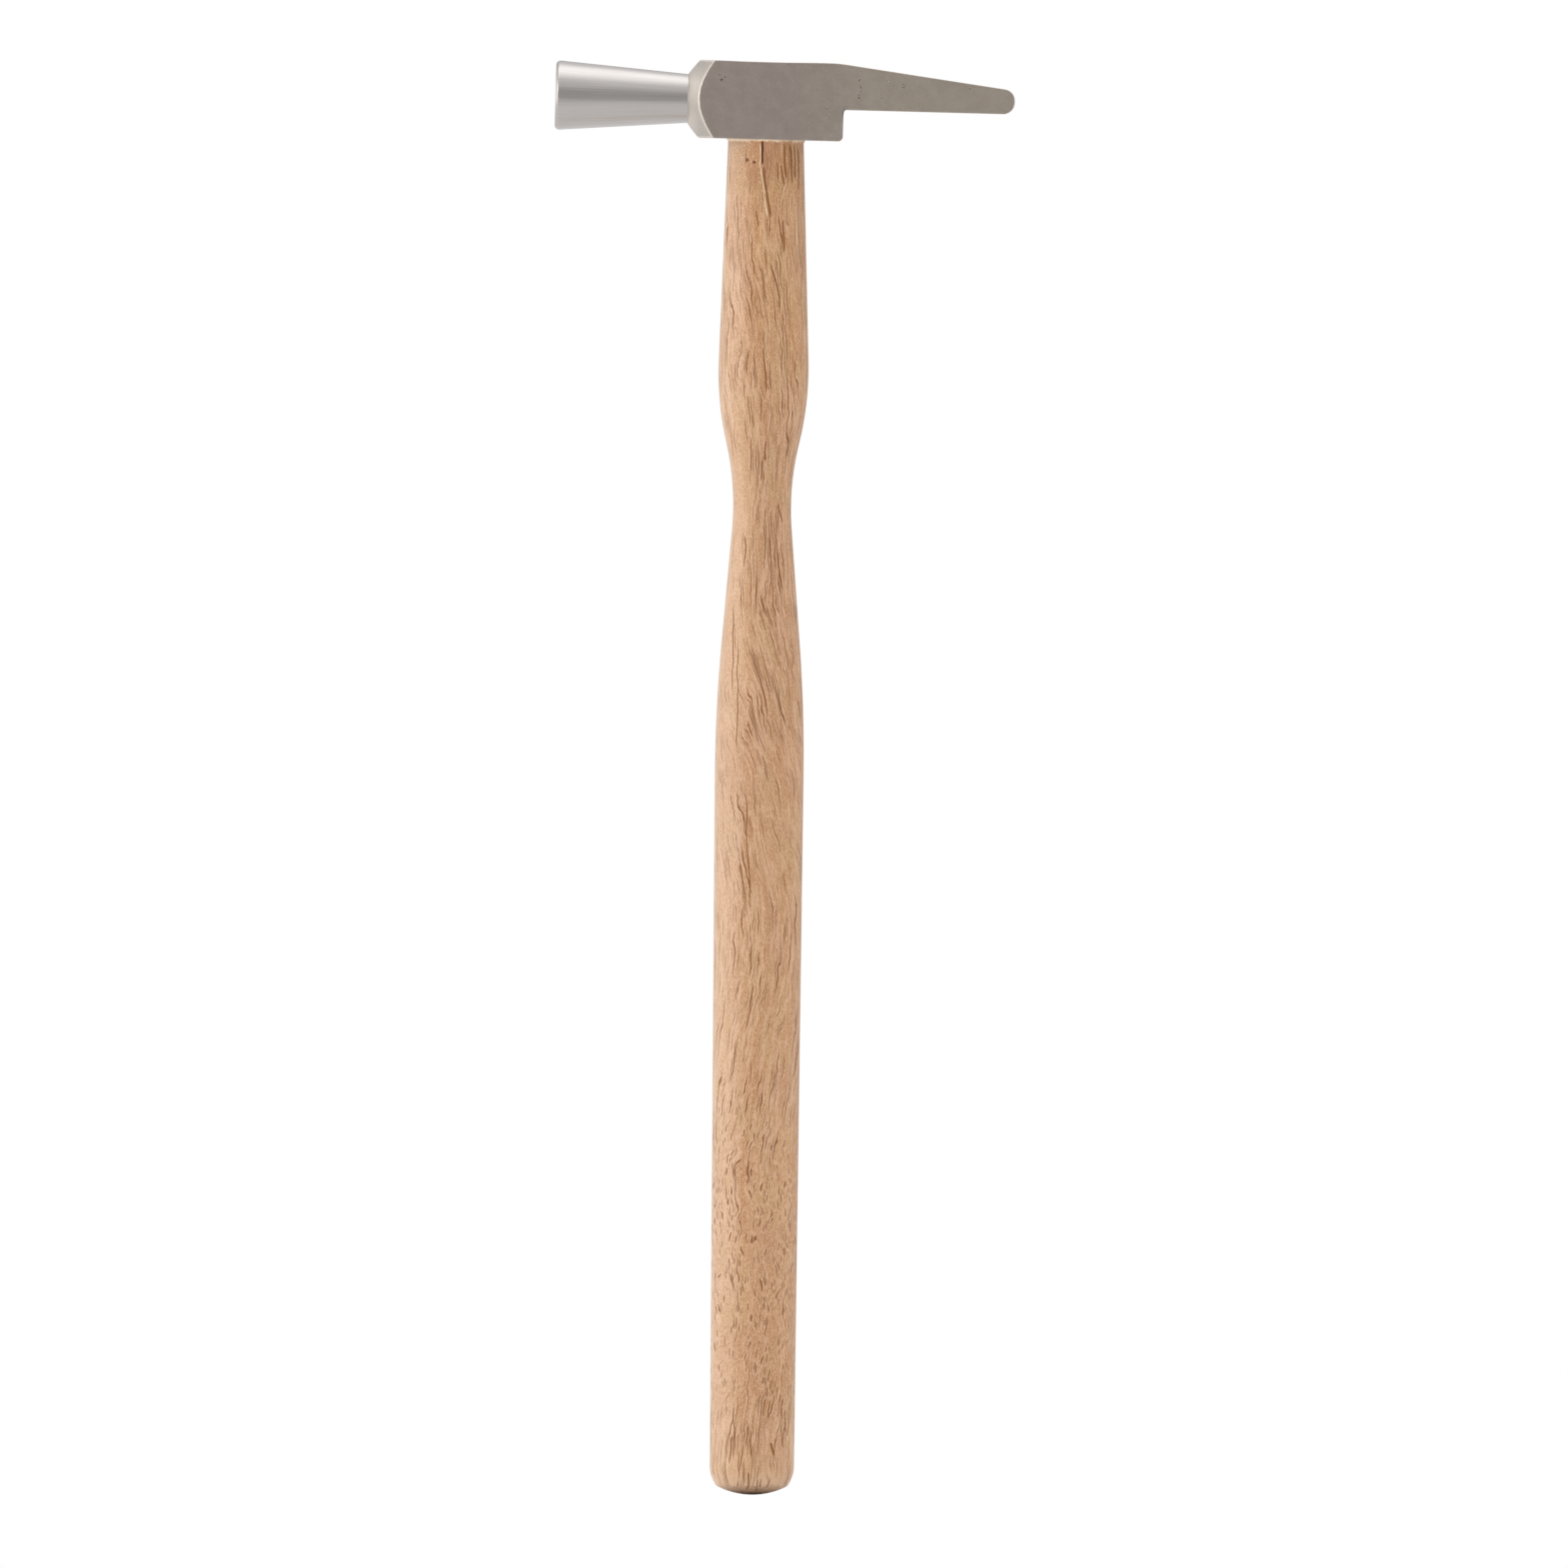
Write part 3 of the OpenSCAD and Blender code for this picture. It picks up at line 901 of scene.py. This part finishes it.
def plain_wood(tree, grain, fibres, lips):
    """The wood's colour before its vessel lines and its marks, with painted light in it: a striking side that
    is partly paler wood and partly painted light, a painted highlight on the rim of that side and painted
    light on the butt end.
    """
    bands = tree.noise(grain, BAND_SIZE)
    streaks = tree.noise(grain, STREAK_SIZE, 3.0, 0.6)
    clouds = tree.noise(tree.here, CLOUD_SIZE)
    warmth = tree.noise(tree.here, WARMTH_SIZE, moved=(0, 70, 0))
    specks = tree.noise(tree.here, SPECK_SIZE, 1.0)
    tone = tree.plus(tree.times(bands, 0.68), tree.times(streaks, 0.32))
    # Paler wood on the striking side, partly painted light from the lamp on that side
    striking_side_wood_and_light = tree.times(tree.span(tree.x, -3.6, -1.8, 0.55, 0.0),
                               tree.span(tree.drop, 28, 52, 0.2, 1.0))
    base = tree.mix(tree.span(tone, 0.38, 0.62), BROWN_BAND, TAN_BAND)
    for amount, colour in (
        (tree.span(warmth, 0.48, 0.66, 0.0, 0.6), WARM_PATCH),
        (tree.span(clouds, 0.50, 0.68, 0.0, 0.6), ROSY_PATCH),
        (striking_side_wood_and_light, PALE_WOOD_AND_LIGHT_SIDE),
        (tree.span(fibres, 0.48, 0.72, 0.0, 0.42), LIGHT_FIBRE),
        (tree.span(fibres, 0.30, 0.48, 0.34, 0.0), DARK_FIBRE),
        (tree.span(specks, 0.52, 0.70, 0.0, 0.62), LIGHT_SPECK),
        (tree.span(specks, 0.30, 0.48, 0.62, 0.0), DARK_SPECK),
        (tree.times(lips, 0.6), VESSEL_LIP),
    ):
        base = tree.mix(amount, base, colour)
    yellow = tree.times(tree.span(tree.drop, 25, 50, 1.0, 0.3), tree.span(tree.x, -4.5, -1.0))
    base = tree.mix(yellow, base, YELLOW_CAST, "MULTIPLY")
    side = tree.math("DIVIDE", tree.x, tree.math("MAXIMUM", tree.radius, 1.0))
    for amount, colour in (
        # A painted highlight along the rim of the -X side
        (tree.span(side, -1.0, -0.86, 0.35, 0.0), PAINTED_RIM_HIGHLIGHT),
        # Painted light on the butt end and its rim, against the floor's shadow
        (tree.span(tree.z, 3.0, 14.0, 0.35, 0.0), BUTT_PAINTED_LIGHT),
        (tree.span(tree.z, 0.0, 4.5, 0.6, 0.0), BUTT_RIM_PAINTED_LIGHT),
    ):
        base = tree.mix(amount, base, colour)
    return base


def marked_neck(tree, colour, right):
    """The painted highlights beside the split and the torn edge, the stains beside the split, and the crushed
    fibres under the head.
    """
    for line in HIGHLIGHT_LIP_LINES:
        colour = tree.mix(tree.times(long_line(tree, right, *line), 0.8), colour, PAINTED_LIP_HIGHLIGHT)
    for middle, reach, first, last, strength in STAINS:
        aside = tree.math("ABSOLUTE", tree.minus(tree.x, middle))
        stain = tree.times(tree.span(aside, reach * 0.5, reach, strength, 0.0), tree.front)
        down = tree.between(tree.drop, (first - 1.5, first + 0.5), (last - 3.0, last + 1.0))
        colour = tree.mix(tree.times(stain, down), colour, STAIN)
    ragged = tree.times(tree.noise(tree.here, CRUSHED_SIZE), 0.7)
    crushed = tree.span(tree.plus(tree.drop, ragged), CRUSH_H, 0.8, 0.9, 0.0)
    crushed = tree.times(crushed, tree.span(tree.radius, EYE_D / 2 + 0.5, EYE_D / 2 + 0.9))
    return tree.mix(crushed, colour, CRUSHED)


def sawn_tenon(tree, colour):
    """End grain on the sawn top of the tenon."""
    rings = tree.plus(tree.times(tree.x, 1.1), tree.times(tree.y, 0.3))
    bend = tree.times(tree.noise(tree.here, END_BEND_SIZE), 2.0)
    rings = tree.math("SINE", tree.times(tree.plus(rings, bend), 4.0))
    dots = tree.noise(tree.here, END_DOT_SIZE)
    sawn = tree.mix(tree.span(rings, -1.0, 1.0), SAWN_DARK, SAWN_LIGHT)
    sawn = tree.mix(tree.span(dots, 0.50, 0.62, 0.0, 0.6), sawn, SAWN_DOT)
    return tree.mix(tree.span(tree.drop, -2.0, -1.0, 1.0, 0.0), colour, sawn)


def shaded_hollows(tree, colour):
    """Painted shade inside the split and the two pits beside it."""
    aside = tree.math("ABSOLUTE", tree.minus(tree.x, SPLIT_RIGHT))
    inside = tree.times(tree.span(aside, 0.11, 0.20, 1.0, 0.0),
                        tree.between(tree.drop, (0.2, 0.45), (SPLIT_END - 0.6, SPLIT_END)))
    inside = tree.times(inside, tree.front)
    colour = tree.mix(tree.times(inside, 0.9), colour, SPLIT_SHADE)
    for pit_drop, pit_right, size, _ in WOOD_PITS:
        aside = tree.minus(tree.x, pit_right)
        away = tree.hypot(aside, tree.minus(tree.drop, pit_drop))
        inside = tree.times(tree.span(away, size * 0.4, size * 0.9, 0.8, 0.0), tree.front)
        colour = tree.mix(inside, colour, WOOD_PIT_SHADE)
    return colour


def wood_material(name):
    """Turned hardwood. Cycles holds 255 numbers of a material at once and renders it black beyond them."""
    tree = WoodTree(bpy.data.materials.new(name))
    grain = grain_place(tree)
    lines, lips = vessels(tree, grain)

    # The drawn lines waver a little, and are kept off the back
    right = tree.plus(tree.x, tree.wobble(tree.here, *LINE_WAVER, moved=(0, 0, 90)))
    right = tree.plus(right, tree.times(tree.math("GREATER_THAN", tree.y, 0.0), 100.0))
    drawn = 0.0
    for line in LONG_LINES:
        drawn = tree.math("MAXIMUM", drawn, long_line(tree, right, *line))
    lines = tree.math("MAXIMUM", lines, drawn)

    fibres = tree.noise(grain, FIBRE_SIZE, 2.0, 0.65)
    # Vessels, stripes and the torn edge's painted shadow all take this dark colour
    colour = tree.mix(tree.times(lines, 0.95), plain_wood(tree, grain, fibres, lips), VESSEL_AND_SHADOW_LINE)
    colour = marked_neck(tree, colour, right)
    colour = sawn_tenon(tree, colour)
    colour = shaded_hollows(tree, colour)

    rough = tree.span(fibres, 0.2, 0.8, 0.42, 0.52, smooth=False)
    fibre_height, line_depth = 0.011, 0.054
    height = tree.minus(tree.times(fibres, fibre_height), tree.times(lines, line_depth))
    tree.shade({
        "Base Color": colour,
        "Roughness": tree.plus(rough, tree.times(lines, 0.25)),
        "Specular IOR Level": 0.5,
        "Coat Weight": 0.4,
        "Coat Roughness": 0.38,
        "Normal": tree.bump(height, 1.0),
    })
    return tree.owner


# The steel's colours
CONE = (0.405, 0.382, 0.368, 1), (0.460, 0.436, 0.422, 1)
CHAMFER_STEEL = (0.400, 0.366, 0.330, 1), (0.450, 0.414, 0.376, 1)
# A painted reflection on the chamfer near the neck, and a painted highlight along the chamfer's edge
NECK_PAINTED_REFLECTION, EDGE_PAINTED_HIGHLIGHT = (0.66, 0.60, 0.54, 1), (0.62, 0.57, 0.51, 1)
SATIN_MOTTLE = (0.380, 0.322, 0.286, 1), (0.404, 0.346, 0.310, 1)
SATIN_SPECK = (0.325, 0.272, 0.240, 1)
PEEN_CAST = (1.07, 1.09, 1.04, 1)
# Painted shade inside the pits and painted glints beside it
PIT_SHADE_COLOUR, PAINTED_PIT_GLINT = (0.10, 0.078, 0.064, 1), (0.62, 0.55, 0.50, 1)

# The sizes of the steel's features: along and round the cone, outwards and round on the chamfer, and
# along X, Y and Z on the cheek
STREAK_ON_CONE, RING_ON_CONE = (14.0, 0.22, 1.0), (0.1, 3.0, 1.0)
RING_ON_CHAMFER = (0.1, 2.5, 0.1)
MOTTLE_SIZE, SATIN_SPECK_SIZE = (1.4, 1.4, 1.4), (0.22, 0.22, 0.22)
GRIND_SIZE, CHIP_SIZE = (0.14, 5.0, 3.2), (0.26, 0.26, 0.26)

# Pits in the front cheek, as (x, height above the axis, radius)
PITS = [
    (-7.6, 3.95, 0.24), (-7.3, 3.1, 0.30), (-6.9, 3.6, 0.18), (14.7, 3.6, 0.24), (14.8, 2.5, 0.28),
    (15.0, 1.85, 0.20), (14.6, 1.3, 0.18), (14.7, 0.8, 0.22), (19.3, 3.6, 0.20), (22.0, 2.7, 0.30),
    (21.8, 3.1, 0.18), (18.5, 0.8, 0.20), (32.6, 2.8, 0.22), (9.6, -0.95, 0.22), (10.0, -2.1, 0.18),
]


def head_place(tree):
    """The place on the head, in millimetres of the head's own frame, with its axis on X."""
    level = tree.add("ShaderNodeVectorRotate", {
        "Vector": tree.vector("SUBTRACT", tree.place(), (0.0, 0.0, HANDLE_LEN)),
        "Axis": (0, 1, 0), "Angle": -math.radians(HEAD_CANT),
    }, rotation_type="AXIS_ANGLE").outputs[0]
    return tree.vector("SUBTRACT", level, (0.0, 0.0, AXIS_H))


def turned_material(name, colour_low, colour_high, roughness, lengthwise):
    """Bright turned steel: fine streaks along the cone, or rings round the chamfer with a painted reflection
    near the neck and a painted highlight along its edge.
    """
    tree = Tree(bpy.data.materials.new(name))
    x, y, z = tree.split(head_place(tree))
    radius = tree.hypot(y, z)
    round_angle = tree.math("ARCTAN2", z, y)
    if lengthwise:
        streak_place = tree.join(x, tree.times(round_angle, 5.0), 0.0)
        ring_place = tree.join(x, tree.times(round_angle, 0.6), 0.0)
        lines = tree.noise(streak_place, STREAK_ON_CONE, 3.0, 0.6)
        rings = tree.noise(ring_place, RING_ON_CONE)
    else:
        ring_place = tree.join(radius, tree.times(round_angle, 1.5), x)
        lines = tree.noise(ring_place, RING_ON_CHAMFER, 3.0, 0.6)
        rings = lines
    colour = tree.mix(tree.span(lines, 0.3, 0.7), colour_low, colour_high)
    if not lengthwise:
        # Painted reflection near the neck, where the cone hides the lamp
        neck_reflection = tree.span(radius, NECK_D / 2 + 0.3, NECK_D / 2 + 3.2, 0.6, 0.0)
        colour = tree.mix(neck_reflection, colour, NECK_PAINTED_REFLECTION)
        # A painted highlight along the chamfer's edge with the cheeks
        side = tree.math("MAXIMUM", tree.math("ABSOLUTE", y), tree.math("ABSOLUTE", z))
        edge = tree.span(side, BAR_H / 2 - 0.35, BAR_H / 2 - 0.12)
        colour = tree.mix(edge, colour, EDGE_PAINTED_HIGHLIGHT)
    relief = tree.bump(lines, 0.004, 0.5)
    tree.shade({
        "Base Color": colour,
        "Roughness": tree.span(lines, 0.25, 0.75, *roughness, smooth=False),
        "Metallic": 1.0,
        "Normal": tree.bump(rings, 0.003, 0.4, below=relief),
    })
    return tree.owner


def ground_material(name):
    """Satin plated steel over a ground bar: fine mottling, grinding lines and small pits with painted shade
    and painted glints.
    """
    tree = Tree(bpy.data.materials.new(name))
    here = head_place(tree)
    x, y, z = tree.split(here)
    mottle = tree.noise(here, MOTTLE_SIZE, 3.0, 0.6)
    specks = tree.noise(here, SATIN_SPECK_SIZE, 2.0, 0.6)
    grind = tree.noise(here, GRIND_SIZE, 2.0, 0.6)
    colour = tree.mix(tree.span(mottle, 0.3, 0.7), *SATIN_MOTTLE)
    colour = tree.mix(tree.span(specks, 0.3, 0.7, 0.0, 0.35), colour, SATIN_SPECK)
    colour = tree.mix(tree.span(x, 2.0, 18.0), colour, PEEN_CAST, "MULTIPLY")
    dark = 0.0
    for pit_x, pit_z, size in PITS:
        apart = tree.hypot(tree.minus(x, pit_x), tree.minus(z, pit_z))
        dark = tree.math("MAXIMUM", dark, tree.span(apart, size * 0.6, size * 1.3, 1.0, 0.0))
    pitted = tree.times(dark, tree.math("LESS_THAN", y, -BAR_W / 2 + 0.15))
    chips = tree.noise(here, CHIP_SIZE, 1.0)
    # The pits get painted shade and painted glints
    shaded_pit = tree.times(tree.span(chips, 0.44, 0.56), pitted)
    painted_glint = tree.times(tree.span(chips, 0.44, 0.34), pitted)
    colour = tree.mix(tree.times(shaded_pit, 0.9), colour, PIT_SHADE_COLOUR)
    colour = tree.mix(tree.times(painted_glint, 0.7), colour, PAINTED_PIT_GLINT)
    relief = tree.bump(grind, 0.004, 0.35)
    relief = tree.bump(specks, 0.006, 0.4, below=relief)
    tree.shade({
        "Base Color": colour,
        "Roughness": tree.span(mottle, 0.3, 0.7, 0.36, 0.44, smooth=False),
        "Metallic": 1.0,
        "Normal": tree.bump(tree.minus(1.0, shaded_pit), 0.05, 0.8, below=relief),
    })
    return tree.owner


def wedge_material(name, line_size, colours, roughness, metallic, depth_mm, strength):
    """The end of a wedge, with lines along its grain or its rolling."""
    tree = Tree(bpy.data.materials.new(name))
    lines = tree.noise(tree.place(), line_size, 3.0, 0.6)
    tree.shade({
        "Base Color": tree.mix(tree.span(lines, 0.3, 0.7), *colours),
        "Roughness": tree.span(lines, 0.2, 0.8, *roughness, smooth=False),
        "Metallic": metallic,
        "Normal": tree.bump(lines, depth_mm, strength),
    })
    return tree.owner


# The pieces

head = make_head()
for made in (
    turned_material("turned_cone", *CONE, roughness=(0.28, 0.34), lengthwise=True),
    turned_material("turned_chamfer", *CHAMFER_STEEL, roughness=(0.42, 0.50), lengthwise=False),
    ground_material("satin_cheek"),
):
    head.data.materials.append(made)
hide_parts("hammer_head")
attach(head, "root")

handle = make_handle()
handle.data.materials.append(wood_material("turned_wood"))
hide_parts("handle")
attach(handle, "root")

WEDGE_WOOD = (0.34, 0.19, 0.09, 1), (0.50, 0.31, 0.17, 1)
WEDGE_STEEL = (0.30, 0.28, 0.27, 1), (0.46, 0.45, 0.44, 1)
wedge_wood = wedge_material(
    "wedge_wood", line_size=(0.25, 3.0, 0.9), colours=WEDGE_WOOD, roughness=(0.6, 0.8),
    metallic=0.0, depth_mm=0.03, strength=0.6,
)
wedge_steel = wedge_material(
    "wedge_steel", line_size=(3.0, 0.08, 0.5), colours=WEDGE_STEEL, roughness=(0.28, 0.5),
    metallic=1.0, depth_mm=0.01, strength=0.5,
)
for node, material in (("wooden_wedge", wedge_wood), ("steel_wedge", wedge_steel)):
    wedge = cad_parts[node]
    wedge.data.materials.clear()
    wedge.data.materials.append(material)


# The floor, the cards that the steel reflects, the lamps and the world

def plane(name, centre, size, turn=(0, 0, 0)):
    """A flat rectangle, size = (width, height), that faces +Z before it is turned."""
    bm = bmesh.new()
    w, h = size[0] / 2, size[1] / 2
    bm.faces.new([bm.verts.new(p) for p in ((-w, -h, 0), (w, -h, 0), (w, h, 0), (-w, h, 0))])
    mesh = bpy.data.meshes.new(name)
    bm.to_mesh(mesh)
    bm.free()
    made = add_object(name, mesh)
    made.location = centre
    made.rotation_euler = [math.radians(a) for a in turn]
    return made


floor = plane("floor", (0, 0, 0), (8, 8))
floor_tree = Tree(bpy.data.materials.new("pale_floor"))
floor_tree.shade({"Base Color": (0.86, 0.86, 0.86, 1), "Roughness": 0.9, "Specular IOR Level": 0.1})
floor.data.materials.append(floor_tree.owner)

CARD_GLOW = 0.58
card_tree = Tree(bpy.data.materials.new("grey_card"))
card_tree.shade({
    "Base Color": (0, 0, 0, 1),
    "Specular IOR Level": 0.0,
    "Emission Color": (1, 1, 1, 1),
    "Emission Strength": CARD_GLOW,
})
for name, y in (("card_front", -0.75), ("card_back", 0.75)):
    card = plane(name, (0, y, 0.31), (2.4, 0.62), (90, 0, 0))
    card.data.materials.append(card_tree.owner)
    card.visible_camera = False
    card.visible_diffuse = False


def softbox(name, centre, target, size, radiance):
    """A rectangular lamp whose face has this brightness, where 1 is white."""
    lamp = bpy.data.lights.new(name, "AREA")
    lamp.shape = "RECTANGLE"
    lamp.size, lamp.size_y = size
    lamp.energy = radiance * math.pi * size[0] * size[1]
    made = add_object(name, lamp)
    made.location = centre
    made.rotation_euler = (Vector(target) - Vector(centre)).to_track_quat("-Z", "Y").to_euler()


HEAD_Z = HANDLE_LEN * MM
softbox("lamp_top", (0.0, 0.13, HEAD_Z + 1.0), (0, 0.13, HEAD_Z), (1.7, 0.68), 0.6)
softbox("lamp_top_wide", (0.0, 0.10, HEAD_Z + 1.15), (0, 0.10, HEAD_Z), (2.0, 1.45), 0.65)
softbox("lamp_left", (-1.2, -0.15, 0.30), (0, 0, 0.12), (2.3, 0.9), 1.35)

# The world lights the hammer with this much of the white that the camera and the steel see
AMBIENT = 0.9

world = Tree(bpy.data.worlds.new("white"), "Background")
bpy.context.scene.world = world.owner
rays = world.add("ShaderNodeLightPath").outputs
seen = world.math("MAXIMUM", rays["Is Camera Ray"], rays["Is Glossy Ray"])
seen = world.math("MAXIMUM", seen, rays["Is Transmission Ray"])
world.shade({"Color": (1, 1, 1, 1), "Strength": world.span(seen, 0.0, 1.0, AMBIENT, 1.0, smooth=False)})


# The camera looks along +Y, rolled so that the handle leans as in the photograph

CAMERA_ROLL = 0.611
FRAME_WIDTH = 251.30
AIM_X, AIM_Z = 3.99, 113.95
CAMERA_BACK = 2.5

camera_data = bpy.data.cameras.new("camera")
camera_data.type = "ORTHO"
camera_data.ortho_scale = FRAME_WIDTH * MM
camera_data.clip_end = 20
camera = add_object("camera", camera_data)
roll = math.radians(CAMERA_ROLL)
right = Vector((math.cos(roll), 0, math.sin(roll)))
up = Vector((-math.sin(roll), 0, math.cos(roll)))
back = right.cross(up)
turn = Matrix((right, up, back)).transposed()
camera.matrix_world = Matrix.Translation((AIM_X * MM, -CAMERA_BACK, AIM_Z * MM)) @ turn.to_4x4()
bpy.context.scene.camera = camera

bpy.context.scene.view_settings.view_transform = "Standard"
